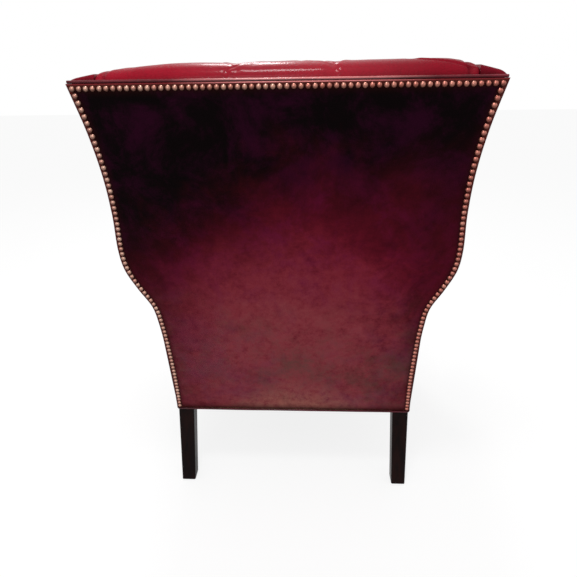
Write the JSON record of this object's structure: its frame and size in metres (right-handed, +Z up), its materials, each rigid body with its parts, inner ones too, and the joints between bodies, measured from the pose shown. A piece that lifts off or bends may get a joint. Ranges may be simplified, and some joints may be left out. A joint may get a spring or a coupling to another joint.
{
  "type": "wingback armchair",
  "caption": "Leather wing armchair with a raked nail-trimmed outside back, tufted inside back, rolled arms, loose seat cushion and dark wooden legs.",
  "frame": {"origin": "on the floor under the middle of the chair", "axes": "+Z up, the chair faces -Y, the outside back faces +Y, the sitter's left is +X"},
  "size_m": [0.806, 0.8045, 1.1302],
  "materials": {
    "mahogany": "dark polished",
    "frame_wood": "planed, unfinished",
    "oxblood_leather": "waxed, mottled",
    "back_leather": "waxed, mottled",
    "arm_padding": "waxed, mottled",
    "wing_padding": "waxed, mottled",
    "back_padding": "waxed, mottled",
    "crown_padding": "waxed, mottled",
    "button_leather": "waxed",
    "welt_leather": "waxed",
    "cushion_leather": "waxed, mottled",
    "cushion_filling": "soft foam in a white cloth",
    "stuffing": "cotton and foam",
    "deck_cloth": "plain woven",
    "dust_cloth": "thin woven",
    "jute": "coarse woven",
    "antique_brass": "antique, domed",
    "zip_brass": "satin",
    "spring_steel": "drawn wire",
    "glide_metal": "pressed, nickel"
  },
  "bodies": {
    "chair": {"rear_post_left": "mahogany", "rear_post_right": "mahogany", "front_leg_left": "mahogany", "front_leg_right": "mahogany", "seat_rail_side_left": "frame_wood", "seat_rail_side_right": "frame_wood", "arm_stump_left": "frame_wood", "arm_stump_right": "frame_wood", "arm_rail_left": "frame_wood", "arm_rail_right": "frame_wood", "arm_tack_rail_left": "frame_wood", "arm_tack_rail_right": "frame_wood", "wing_stile_left": "frame_wood", "wing_stile_right": "frame_wood", "wing_post_left": "frame_wood", "wing_post_right": "frame_wood", "wing_rail_left": "frame_wood", "wing_rail_right": "frame_wood", "inside_arm_left": "arm_padding", "inside_arm_right": "arm_padding", "outside_arm_left": "oxblood_leather", "outside_arm_right": "oxblood_leather", "arm_front_left": "oxblood_leather", "arm_front_right": "oxblood_leather", "inside_wing_left": "wing_padding", "inside_wing_right": "wing_padding", "outside_wing_left": "oxblood_leather", "outside_wing_right": "oxblood_leather", "seat_rail_front": "frame_wood", "seat_rail_rear": "frame_wood", "corner_blocks": "frame_wood", "crest_rail": "frame_wood", "lower_back_rail": "frame_wood", "frame_dowels": "frame_wood", "foot_glides": "glide_metal", "seat_springs": "spring_steel", "spring_clips": "spring_steel", "seat_burlap": "jute", "deck_pad": "stuffing", "deck_cover": "deck_cloth", "front_border": "oxblood_leather", "dust_cover": "dust_cloth", "back_webbing": "jute", "inside_back": "back_padding", "back_buttons": "button_leather", "crown_roll": "crown_padding", "outside_back": "back_leather", "crest_welt": "welt_leather", "base_welt": "welt_leather", "back_nails": "antique_brass", "arm_front_nails": "antique_brass"},
    "seat_cushion": {"seat_cushion_cover": "cushion_leather", "seat_cushion_core": "cushion_filling", "seat_cushion_welts": "welt_leather", "seat_cushion_zip": "zip_brass"}
  },
  "joints": [
    {"name": "cushion_slide", "type": "slide", "parent": "chair", "child": "seat_cushion", "axis": [0, -0.9986, 0.0523], "range_m": [0, 0.55]}
  ]
}
